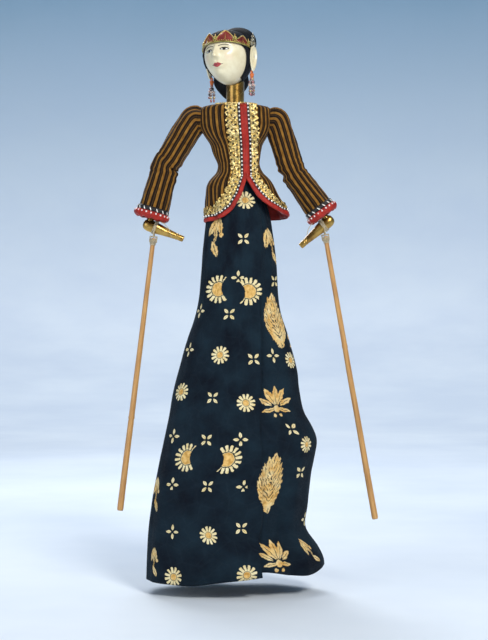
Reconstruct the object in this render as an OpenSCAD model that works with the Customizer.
// Wayang golek rod puppet: a carved head on a central rod, a wooden torso that turns on the rod,
// arms joined with string loops, two hand rods, a striped jacket and a long wrapped skirt.
// The puppet stands upright along +Z and faces -Y. The origin is at the lower end of the grip.
// "right" and "left" are the puppet's own sides, so right is towards -X.

/* [Central rod] */
// Diameter of the grip held by the puppeteer
grip_d = 16; // [14:1:20]
// Length of the plain grip
grip_l = 170; // [150:5:200]
// Diameter of the shaft inside the torso
shaft_d = 10; // [8:0.5:11]
// How far the torso can be pushed up the rod
lift = 5; // [3:0.5:5]

/* [Head] */
// Half width of the head from ear to ear
head_w = 27; // [25:0.5:28]
// Half height of the head from chin to crown
head_h = 35; // [33:0.5:36]
// Turn of the face towards the puppet's right
head_yaw = 28; // [0:1:35]
// Upward tilt of the face
head_pitch = 8; // [0:1:18]
// Sideways lean of the head
head_roll = 5; // [0:1:6]
// Diameter of the neck
neck_d = 23; // [21:0.5:24]

/* [Arms] */
// Height of the shoulder pivots
shoulder_z = 536; // [534:1:537]
// Distance of each shoulder pivot from the middle
shoulder_x = 50.5; // [50:0.5:53]
// Distance from shoulder pivot to elbow pivot
upper_arm_l = 70.5; // [68:0.5:76]
// Distance from elbow pivot to the bend of the wrist
forearm_l = 77; // [73:0.5:80]
// Length of the hand from the wrist bend to the finger tips
hand_l = 47; // [42:1:50]
// Angle between forearm and hand
wrist_bend = 84; // [75:1:90]
// Outward angle of the right upper arm
right_upper_angle = 31; // [25:1:40]
// Outward angle of the right forearm
right_fore_angle = 16; // [10:1:25]
// Outward angle of the left upper arm
left_upper_angle = 17; // [15:1:25]
// Outward angle of the left forearm
left_fore_angle = 36; // [30:1:45]

/* [Hand rods] */
// Length of the right hand rod
right_rod_l = 343; // [330:1:360]
// Length of the left hand rod
left_rod_l = 359; // [340:1:370]
// Outward angle of the right hand rod
right_rod_angle = 7; // [6:0.5:14]
// Outward angle of the left hand rod
left_rod_angle = 10; // [8:0.5:14]
// Diameter of a hand rod at its thin upper end
rod_top_d = 5.8; // [5:0.1:6]
// Diameter of a hand rod at its thick lower end
rod_end_d = 8; // [7:0.1:9]

/* [Clothes] */
// Thickness of the cloth shells
cloth = 1.6; // [1.2:0.1:2]
// Depth of the jacket as a share of its width
jacket_depth = 0.68; // [0.66:0.01:0.74]
// Depth of the skirt as a share of its width
skirt_depth = 0.62; // [0.6:0.01:0.65]
// Middle of the front ribbon, left of the puppet's centre line
ribbon_x = 14; // [10:1:16]
// Width of the front ribbon
ribbon_w = 6; // [5:0.5:8]
// Height where the jacket fronts part
parting_z = 462; // [455:1:468]

/* [Hidden] */
right = -1;
left = 1;
fit = 0.1;         // radial clearance of a cord or shaft in its hole
cord_r = 0.8;      // string of the arm loops and rod ties
stub_r = 1.25;     // twisted cord that leaves each shoulder
loop_h = 7;        // pivot to knot in the elbow loops
tongue_r = 5.2;    // rounded end of each arm piece around its string hole
tongue_t = 8;      // thickness of that end
eye_a = tongue_t / 2 + 0.5 + cord_r;

// central rod and torso
shoulder_rest_z = 380;
washer_t = 4;
torso_z0 = shoulder_rest_z + washer_t;
rod_top_z = 575;
torso_top = 542;
neck_z0 = torso_top + lift + 1.5;
neck_h = 32;
torso_profile = [
    [torso_z0, 20], [torso_z0 + 10, 24], [420, 25], [450, 22], [480, 20], [500, 26],
    [520, 34], [533, 38], [538, 36], [torso_top, 18]
];
torso_depth = 0.6;

// clothes: height and half width, from the bottom up
jacket_profile = [
    [402, 52], [420, 48.5], [440, 43], [460, 36], [483, 31], [505, 34], [520, 38], [528, 40],
    [536, 41.5], [541, 39], [545, 33], [549, 24.5], [552, 19.6]
];
skirt_profile = [
    [-40, 110], [0, 105], [60, 98], [127, 96], [148, 91], [208, 77], [261, 63], [287, 54],
    [353, 47], [406, 40], [440, 33], [476, 26.5]
];
v_right = [-44, 402];
v_left = [66, 410];
braid_right_w = 17;
braid_left_w = 11;
hem_band_w = 6;
trim_gap = 0.15;     // trim sits this far off the cloth
bead_lift = 1.5;     // bead centre above a slanted face, in bead radii

// arms
upper_angle = [right_upper_angle, left_upper_angle];
fore_angle = [right_fore_angle, left_fore_angle];
rod_angle = [right_rod_angle, left_rod_angle];
rod_l = [right_rod_l, left_rod_l];
function idx(s) = s < 0 ? 0 : 1;
function dir(s, a) = [s * sin(a), 0, -cos(a)];
function shoulder(s) = [s * shoulder_x, 0, shoulder_z];
function elbow(s) = shoulder(s) + upper_arm_l * dir(s, upper_angle[idx(s)]);
function wrist(s) = elbow(s) + forearm_l * dir(s, fore_angle[idx(s)]);
function hand_angle(s) = fore_angle[idx(s)] - wrist_bend;
fore_hole = 2 * loop_h;           // elbow pivot to the hole at the top of the forearm
tie_at = 8;                       // wrist bend to the tie hole in the palm
hand_r = 6;
tip_r = 3.2;
tie_top_h = 11.5;                  // palm hole to the knot of the tie
tie_low_h = 6.5;                  // knot to the hole in the rod
tie_top_a = 7.5;
rod_hole_drop = 4.7;              // rod end to its hole
tie_low_a = rod_top_d / 2 + 0.5 + cord_r;
function palm(s) = wrist(s) + tie_at * dir(s, hand_angle(s));

// head
head_at = [-7, -9, 610];
head_d = 31;
bun_r = 20;
bun_at = [3, 18, 21];
ear_at = [head_w, 4, -6];
ear_r = [3.5, 6, 13];
ornament_at = [head_w + 5, 1, 14];
diadem_tilt = 4;
diadem_top = 17;
band_h = 9;
band_grow = 2.5;
lobe = [28.5, 5, -22];
earring_l = [29, 33];
function spin_x(p, a) = [p[0], p[1] * cos(a) - p[2] * sin(a), p[1] * sin(a) + p[2] * cos(a)];
function spin_y(p, a) = [p[0] * cos(a) + p[2] * sin(a), p[1], -p[0] * sin(a) + p[2] * cos(a)];
function spin_z(p, a) = [p[0] * cos(a) - p[1] * sin(a), p[0] * sin(a) + p[1] * cos(a), p[2]];
function from_head(p) =
    head_at + spin_z(spin_y(spin_x(p, -head_pitch), -head_roll), -head_yaw);
function lobe_at(s) = from_head([s * lobe[0], lobe[1], lobe[2]]);

// loose ends of thread at the hands, from the palm hole, in the puppet's frame
tail_d = 0.8;
tail_route = [
    [0, -8.8, 1], [0.5, -9.6, 3.5], [2.5, -10, 5.5], [5, -10, 6.5], [8, -9.8, 6.5], [11, -9.5, 5],
    [13.5, -9, 3], [16, -8.8, 0.5], [18, -8.6, -2.5], [19.5, -8.5, -5.5], [20.5, -8.5, -9], [21, -8.5, -12.5]
];

// ---- shared shapes ----

// Puts a shape whose length runs down -Z along the direction of angle a on side s
module limb(origin, s, a) {
    translate(origin) rotate([0, -s * a, 0]) children();
}

// A carved solid through [height, half width] pairs, with flat facets, flattened front to back
module carved(profile, depth) {
    scale([1, depth, 1]) rotate_extrude($fn = 12) polygon(concat(
        [[0, profile[0][0]]],
        [for (p = profile) [p[1], p[0]]],
        [[0, profile[len(profile) - 1][0]]]
    ));
}

// The wall of a garment, from grow_in to grow_out outside the profile
module garment(profile, depth, grow_in, grow_out) {
    n = len(profile);
    scale([1, depth, 1]) rotate_extrude($fn = 96) polygon(concat(
        [for (p = profile) [p[1] + grow_out, p[0]]],
        [for (i = [n - 1:-1:0]) [profile[i][1] + grow_in, profile[i][0]]]
    ));
}

// A bar of string with round ends between two points
module string(p, q, r) {
    v = q - p;
    l = norm(v);
    translate(p) rotate([0, acos(v[2] / l), atan2(v[1], v[0])]) cylinder(r = r, h = l, $fn = 24);
    translate(p) sphere(r = r, $fn = 24);
}

// A closed loop of string through a list of corners
module string_loop(points, r) {
    n = len(points);
    for (i = [0:n - 1]) string(points[i], points[(i + 1) % n], r);
}

// Two crossed loops with a knot between: the upper one turns about Y, the lower one about X
module crossed_loops(top_h, top_a, low_h, low_a) {
    k = -top_h;
    string_loop([[0, top_a, 0], [0, top_a, k], [0, -top_a, k], [0, -top_a, 0]], cord_r);
    string_loop([[low_a, 0, k], [low_a, 0, k - low_h], [-low_a, 0, k - low_h], [-low_a, 0, k]], cord_r);
    translate([0, 0, k]) sphere(r = 1.2, $fn = 24);
}

// A tube swept along route points, with the number of sides given
module swept_tube(route, r, sides) {
    n = len(route);
    function along(i) = i == 0 ? route[1] - route[0]
        : i == n - 1 ? route[n - 1] - route[n - 2] : route[i + 1] - route[i - 1];
    points = [for (i = [0:n - 1])
        let (t = along(i) / norm(along(i)), u = cross(t, [0.2, 1, 0.1]), a = u / norm(u), b = cross(t, a))
        for (k = [0:sides - 1])
            route[i] + r * (cos(360 * k / sides) * a + sin(360 * k / sides) * b)];
    walls = [for (i = [0:n - 2]) for (k = [0:sides - 1])
        let (m = (k + 1) % sides, c = i * sides)
        each [[c + k, c + m, c + sides + m], [c + k, c + sides + m, c + sides + k]]];
    start_cap = [[for (k = [sides - 1:-1:0]) k]];
    end_cap = [[for (k = [0:sides - 1]) (n - 1) * sides + k]];
    polyhedron(points, concat(walls, start_cap, end_cap), convexity = 4);
}

// ---- central rod and head ----

module central_rod() {
    color("burlywood") rotate_extrude($fn = 64) polygon([
        [0, -3], [grip_d / 2 - 3, -3], [grip_d / 2, 0], [grip_d / 2, grip_l],
        [grip_d / 2 - 1, grip_l + 3], [grip_d / 2 - 1, shoulder_rest_z - 12],
        [grip_d / 2 + 1.5, shoulder_rest_z - 6], [grip_d / 2 + 1.5, shoulder_rest_z],
        [shaft_d / 2, shoulder_rest_z], [shaft_d / 2, rod_top_z], [0, rod_top_z]
    ]);
}

module head_space() {
    translate(head_at) rotate([-head_pitch, -head_roll, -head_yaw]) children();
}

module neck() {
    color("goldenrod") difference() {
        union() {
            translate([0, 0, neck_z0]) cylinder(d1 = neck_d - 1, d2 = neck_d, h = neck_h, $fn = 64);
            translate([0, 0, neck_z0 + neck_h]) cylinder(d1 = neck_d, d2 = neck_d - 5, h = 4, $fn = 64);
        }
        translate([0, 0, neck_z0 - 1]) cylinder(d = shaft_d + 0.1, h = rod_top_z - neck_z0 + 1, $fn = 64);
        head_space() skull(0.15);
    }
}

// The carved head form, grown evenly by the amount given
module skull(grow) {
    scale([(head_w + grow) / head_h, (head_d + grow) / head_h, (head_h + grow) / head_h])
        sphere(r = head_h, $fn = 64);
}

module head() {
    color("ivory") head_space() {
        difference() {
            union() {
                skull(0);
                translate([0, -head_d + 1, -6]) rotate([24, 0, 0])
                    cylinder(r1 = 4, r2 = 2, h = 14, $fn = 24);
            }
            translate([0, 0, head_h + 6]) cube([90, 90, 30], center = true);
        }
    }
}

// Painted hair: a thin cap over the back and crown of the head
module hair() {
    color("black") head_space() difference() {
        skull(2);
        skull(0.15);
        rotate([-diadem_tilt, 0, 0]) translate([-60, -102, diadem_top - 100]) cube([120, 100, 100.3]);
        translate([-60, -60, -118]) cube([120, 120, 100]);
        translate(bun_at) sphere(r = bun_r + 0.15, $fn = 64);
        for (s = [right, left]) translate([s * ear_at[0], ear_at[1], ear_at[2]]) ear_form(0.2);
    }
}

module hair_bun() {
    color("black") head_space() difference() {
        translate(bun_at) sphere(r = bun_r, $fn = 64);
        skull(0.15);
    }
}

module diadem_band() {
    color("firebrick") head_space() difference() {
        skull(band_grow);
        skull(0.15);
        translate([0, 50 - 2.2, 0]) cube([120, 100, 120], center = true);
        rotate([-diadem_tilt, 0, 0]) {
            translate([-60, -60, diadem_top - band_h - 100]) cube([120, 120, 100]);
            translate([-60, -60, diadem_top]) cube([120, 120, 100]);
        }
    }
}

// Pointed leaves that stand above the diadem band, spaced around the brow
module diadem_leaves() {
    leaf = [[-7, 0], [7, 0], [5, 5], [0, 10], [-5, 5]];
    color("firebrick") head_space() rotate([-diadem_tilt, 0, 0])
        for (a = [-66, -22, 22, 66]) rotate([0, 0, a])
            translate([0, -26.5 - 3.8 * pow(cos(a), 2), diadem_top + 0.2]) rotate([90, 0, 0])
                linear_extrude(height = 1.4) polygon(leaf);
}

// Distance from the head's axis to the band's face at azimuth a, halfway up the band
function band_face(a) = let (h = diadem_top - band_h / 2 + head_d * sin(diadem_tilt) * cos(a))
    sqrt(1 - pow(h / (head_h + band_grow), 2))
        / norm([sin(a) / (head_w + band_grow), cos(a) / (head_d + band_grow)]);

module diadem_rosettes() {
    off_band = 1.8;
    color("gold") head_space() rotate([-diadem_tilt, 0, 0])
        for (a = [-62, -31, 0, 31, 62]) rotate([0, 0, a])
            translate([0, -band_face(a) - off_band, diadem_top - band_h / 2]) rotate([90, 0, 0])
                cylinder(r = 2.4, h = 1.2, $fn = 24);
}

module ear_form(grow) {
    scale([for (r = ear_r) (r + grow) / ear_r[2]]) sphere(r = ear_r[2], $fn = 32);
}

module ear(s) {
    color("ivory") head_space() mirror([s == right ? 1 : 0, 0, 0]) difference() {
        translate(ear_at) ear_form(0);
        skull(0.15);
    }
}

module right_ear() { ear(right); }
module left_ear() { ear(left); }

module ear_ornament(s) {
    color("silver") head_space()
        translate([s * ornament_at[0], ornament_at[1], ornament_at[2]]) rotate([0, s * 82, 0]) {
            cylinder(r1 = 5, r2 = 3.5, h = 1.6, $fn = 32);
            for (a = [0:60:300]) rotate([0, 0, a]) translate([5.6, 0, 0])
                cylinder(r = 1.5, h = 1.2, $fn = 24);
        }
}

module right_ear_ornament() { ear_ornament(right); }
module left_ear_ornament() { ear_ornament(left); }

// ---- earrings, hanging from the ear lobes ----

module earring_tie(s) {
    color("orangered") translate(lobe_at(s) + [0, 0, -1.5]) {
        translate([0, 0, -5]) cylinder(r1 = 3.2, r2 = 1.6, h = 4, $fn = 32);
        translate([0, 0, -1]) cylinder(r = 0.6, h = 2.5, $fn = 24);
    }
}

module right_earring_tie() { earring_tie(right); }
module left_earring_tie() { earring_tie(left); }

module earring_beads(s) {
    l = earring_l[idx(s)];
    bead_r = 1.4;
    pitch = 2 * bead_r + 0.2;
    count = floor((l - 10) / pitch);
    top = -6.8 - bead_r;
    color("white") translate(lobe_at(s))
        for (a = [90, 210, 330]) rotate([0, 0, a + s * 20]) translate([2.1, 0, 0]) {
            for (i = [0:count - 1]) translate([0, 0, top - i * pitch])
                sphere(r = bead_r, $fn = 24);
            translate([0, 0, top - (count - 1) * pitch])
                cylinder(r = 0.4, h = (count - 1) * pitch + bead_r, $fn = 24);
        }
}

module right_earring_beads() { earring_beads(right); }
module left_earring_beads() { earring_beads(left); }

// ---- torso and clothes ----

module thrust_washer() {
    color("sienna") translate([0, 0, shoulder_rest_z]) difference() {
        cylinder(r = 11, h = washer_t, $fn = 64);
        translate([0, 0, -1]) cylinder(r = shaft_d / 2 + fit, h = washer_t + 2, $fn = 64);
    }
}

module torso() {
    color("tan") difference() {
        carved(torso_profile, torso_depth);
        translate([0, 0, torso_z0 - 1]) cylinder(r = shaft_d / 2 + fit, h = 200, $fn = 64);
        for (s = [right, left]) translate([s * 27, 0, shoulder_z]) rotate([0, s * 90, 0])
            cylinder(r = stub_r + fit, h = 20, $fn = 32);
    }
}

// The region in front of the puppet below the parting line of the jacket, moved up by rise
module parting(rise) {
    rotate([90, 0, 0]) linear_extrude(height = 80) polygon([
        [ribbon_x, parting_z + rise], [v_right[0], v_right[1] + rise], [v_right[0] - 40, v_right[1] + rise],
        [v_right[0] - 40, 340], [v_left[0] + 40, 340], [v_left[0] + 40, v_left[1] + rise],
        [v_left[0], v_left[1] + rise]
    ]);
}

module jacket_body() {
    color("saddlebrown") difference() {
        garment(jacket_profile, jacket_depth, -cloth, 0);
        parting(0);
        translate([ribbon_x - 0.5, -60, 380]) cube([1, 60, 200]);
        for (s = [right, left]) translate([s * 25, 0, shoulder_z]) rotate([0, s * 90, 0])
            cylinder(r = 13, h = 30, $fn = 48);
    }
}

// A strip of trim on the front of the jacket between two edges, above the parting
module front_strip(x0, x1, grow_in, grow_out) {
    difference() {
        garment(jacket_profile, jacket_depth, grow_in, grow_out);
        parting(hem_band_w + 0.3);
        translate([x0 - 200, -100, 380]) cube([200, 200, 200]);
        translate([x1, -100, 380]) cube([200, 200, 200]);
        translate([-100, 0, 380]) cube([200, 100, 200]);
    }
}

module right_front_braid() {
    x1 = ribbon_x - ribbon_w / 2 - 3;
    color("gold") front_strip(x1 - braid_right_w, x1, trim_gap, trim_gap + 1.2);
}

module left_front_braid() {
    x0 = ribbon_x + ribbon_w / 2 + 3;
    color("gold") front_strip(x0, x0 + braid_left_w, trim_gap, trim_gap + 1.2);
}

module front_ribbon() {
    color("crimson") front_strip(ribbon_x - ribbon_w / 2, ribbon_x + ribbon_w / 2, trim_gap, trim_gap + 0.8);
}

// Point in front of the jacket's face grown by grow, and the given distance out from that
function on_front(x, z, grow, out) =
    [x, -jacket_depth * sqrt(pow(lookup(z, jacket_profile) + grow, 2) - x * x) - out, z];

module front_beads() {
    color("white") for (x = [ribbon_x - ribbon_w / 2 - 1.5, ribbon_x + ribbon_w / 2 + 1.5])
        for (z = [parting_z + 5:5:shoulder_z + 5])
            if (lookup(z, jacket_profile) > x + 3)
                translate(on_front(x, z, 0, 1.1 * bead_lift)) sphere(r = 1.1, $fn = 24);
}

module jacket_hem_band() {
    color("crimson") difference() {
        intersection() {
            garment(jacket_profile, jacket_depth, trim_gap, trim_gap + 1.2);
            union() {
                parting(hem_band_w);
                translate([-100, 0, 380]) cube([200, 100, 29]);
            }
        }
        parting(0);
    }
}

module jacket_hem_beads() {
    n = 12;
    color("white") for (end = [v_right, v_left]) for (i = [1:n - 1]) {
        t = i / n;
        x = ribbon_x + t * (end[0] - ribbon_x);
        z = parting_z + t * (end[1] - parting_z) + hem_band_w / 2;
        if (lookup(z, jacket_profile) > abs(x) + 8)
            translate(on_front(x, z, trim_gap + 1.2, 1.1 * bead_lift)) sphere(r = 1.1, $fn = 24);
    }
}

module waist_tie() {
    profile = [[460, lookup(460, skirt_profile)], [468, lookup(468, skirt_profile)]];
    color("dimgray") garment(profile, skirt_depth, 0.15, 1.2);
}

module skirt() {
    color("midnightblue") garment(skirt_profile, skirt_depth, -cloth, 0);
}

// ---- arms ----

module shoulder_cord(s) {
    knot_x = 43.9;
    start_x = 28;
    bar = [for (y = [-1, 1]) [s * knot_x, y * eye_a, shoulder_z]];
    out = [for (y = [-1, 1]) [s * shoulder_x, y * eye_a, shoulder_z]];
    color("wheat") {
        translate([s * start_x, 0, shoulder_z]) rotate([0, s * 90, 0])
            cylinder(r = stub_r, h = knot_x - start_x, $fn = 32);
        string_loop([bar[0], bar[1], out[1], out[0]], cord_r);
    }
}

module right_shoulder_cord() { shoulder_cord(right); }
module left_shoulder_cord() { shoulder_cord(left); }

// A flat rounded end with a string hole across it; turn it by a quarter for a hole along X
module tongue(reach) {
    rotate([90, 0, 0]) translate([0, 0, -tongue_t / 2]) cylinder(r = tongue_r, h = tongue_t, $fn = 48);
    translate([-tongue_r, -tongue_t / 2, -reach]) cube([2 * tongue_r, tongue_t, reach]);
}

module string_hole() {
    rotate([90, 0, 0]) translate([0, 0, -20]) cylinder(r = cord_r + fit, h = 40, $fn = 32);
}

module upper_arm(s) {
    color("tan") limb(shoulder(s), s, upper_angle[idx(s)]) difference() {
        union() {
            tongue(12);
            translate([0, 0, -upper_arm_l]) rotate([180, 0, 0]) tongue(12);
            rotate_extrude($fn = 48) polygon([
                [0, -10], [7, -10], [8.5, -15], [8.8, -30], [8, -upper_arm_l + 16],
                [6.5, -upper_arm_l + 10], [0, -upper_arm_l + 10]
            ]);
        }
        string_hole();
        translate([0, 0, -upper_arm_l]) string_hole();
    }
}

module right_upper_arm() { upper_arm(right); }
module left_upper_arm() { upper_arm(left); }

module sleeve_tube(points) {
    n = len(points);
    rotate_extrude($fn = 64) polygon(concat(
        [for (p = points) [p[1], -p[0]]],
        [for (i = [n - 1:-1:0]) [points[i][1] - cloth, -points[i][0]]]
    ));
}

module upper_sleeve(s) {
    color("saddlebrown") limb(shoulder(s), s, upper_angle[idx(s)])
        sleeve_tube([[12, 12.5], [20, 15.5], [38, 16.5], [50, 15], [upper_arm_l - 10, 11]]);
}

module right_upper_sleeve() { upper_sleeve(right); }
module left_upper_sleeve() { upper_sleeve(left); }

module elbow_cord(s) {
    color("wheat") limb(elbow(s), s, fore_angle[idx(s)]) crossed_loops(loop_h, eye_a, loop_h, eye_a);
}

module right_elbow_cord() { elbow_cord(right); }
module left_elbow_cord() { elbow_cord(left); }

module forearm_hand(s) {
    color("goldenrod") difference() {
        union() {
            limb(elbow(s), s, fore_angle[idx(s)]) {
                translate([0, 0, -fore_hole]) rotate([0, 0, 90]) tongue(12);
                rotate_extrude($fn = 48) polygon([
                    [0, -fore_hole - 10], [7, -fore_hole - 10], [8, -fore_hole - 15],
                    [7, -forearm_l + 20], [4.6, -forearm_l + 6], [5.4, -forearm_l], [0, -forearm_l]
                ]);
            }
            translate(wrist(s)) sphere(r = hand_r + 0.5, $fn = 48);
            limb(wrist(s), s, hand_angle(s)) rotate_extrude($fn = 48) polygon([
                [0, 0], [hand_r, 0], [hand_r, -12], [tip_r + 0.8, -hand_l + 8],
                [tip_r, -hand_l + 1], [tip_r - 1, -hand_l], [0, -hand_l]
            ]);
        }
        limb(elbow(s), s, fore_angle[idx(s)]) translate([0, 0, -fore_hole])
            rotate([0, 0, 90]) string_hole();
        translate(palm(s)) string_hole();
    }
}

module right_forearm_hand() { forearm_hand(right); }
module left_forearm_hand() { forearm_hand(left); }

sleeve_start = fore_hole + 6;
cuff_z = forearm_l - 20;
module on_forearm(s) {
    limb(elbow(s), s, fore_angle[idx(s)]) children();
}

module fore_sleeve(s) {
    color("saddlebrown") on_forearm(s)
        sleeve_tube([[sleeve_start, 11], [sleeve_start + 10, 14.5], [cuff_z - 4, 17]]);
}

module right_fore_sleeve() { fore_sleeve(right); }
module left_fore_sleeve() { fore_sleeve(left); }

module cuff_band(s) {
    color("black") on_forearm(s) sleeve_tube([[cuff_z - 3.9, 17.2], [cuff_z, 17.4]]);
}

module right_cuff_band() { cuff_band(right); }
module left_cuff_band() { cuff_band(left); }

module cuff(s) {
    color("crimson") on_forearm(s)
        sleeve_tube([[cuff_z + 0.1, 17.4], [cuff_z + 4, 19], [cuff_z + 8, 17.8]]);
}

module right_cuff() { cuff(right); }
module left_cuff() { cuff(left); }

module cuff_beads(s) {
    n = 18;
    color("white") on_forearm(s) for (i = [0:n - 1]) rotate([0, 0, i * 360 / n])
        translate([18.5, 0, -cuff_z + 2]) sphere(r = 1, $fn = 24);
}

module right_cuff_beads() { cuff_beads(right); }
module left_cuff_beads() { cuff_beads(left); }

// ---- hand rods, their ties and the loose thread ends ----

module tie_cord(s) {
    color("wheat") limb(palm(s), s, rod_angle[idx(s)])
        crossed_loops(tie_top_h, tie_top_a, tie_low_h, tie_low_a);
}

module right_tie_cord() { tie_cord(right); }
module left_tie_cord() { tie_cord(left); }

module thread_tail(s) {
    color("wheat") translate(palm(s)) mirror([s > 0 ? 1 : 0, 0, 0])
        swept_tube(tail_route, tail_d / 2, 8);
}

module right_thread_tail() { thread_tail(right); }
module left_thread_tail() { thread_tail(left); }

// A bamboo rod with twelve planed sides
module hand_rod(s) {
    hole = tie_top_h + tie_low_h;
    top = hole - rod_hole_drop;
    l = rod_l[idx(s)];
    color("peru") limb(palm(s), s, rod_angle[idx(s)]) difference() {
        rotate_extrude($fn = 12) polygon([
            [0, -top], [rod_top_d / 2 - 0.6, -top], [rod_top_d / 2, -top - 0.6],
            [rod_end_d / 2, -top - l + 1], [rod_end_d / 2 - 1, -top - l], [0, -top - l]
        ]);
        translate([0, 0, -hole]) rotate([0, 0, 90]) string_hole();
    }
}

module right_hand_rod() { hand_rod(right); }
module left_hand_rod() { hand_rod(left); }

central_rod();
neck();
head();
hair();
hair_bun();
diadem_band();
diadem_leaves();
diadem_rosettes();
right_ear();
left_ear();
right_ear_ornament();
left_ear_ornament();
right_earring_tie();
left_earring_tie();
right_earring_beads();
left_earring_beads();
thrust_washer();
torso();
jacket_body();
right_front_braid();
left_front_braid();
front_ribbon();
front_beads();
jacket_hem_band();
jacket_hem_beads();
waist_tie();
skirt();
right_shoulder_cord();
left_shoulder_cord();
right_upper_arm();
left_upper_arm();
right_upper_sleeve();
left_upper_sleeve();
right_elbow_cord();
left_elbow_cord();
right_forearm_hand();
left_forearm_hand();
right_fore_sleeve();
left_fore_sleeve();
right_cuff_band();
left_cuff_band();
right_cuff();
left_cuff();
right_cuff_beads();
left_cuff_beads();
right_tie_cord();
left_tie_cord();
right_thread_tail();
left_thread_tail();
right_hand_rod();
left_hand_rod();
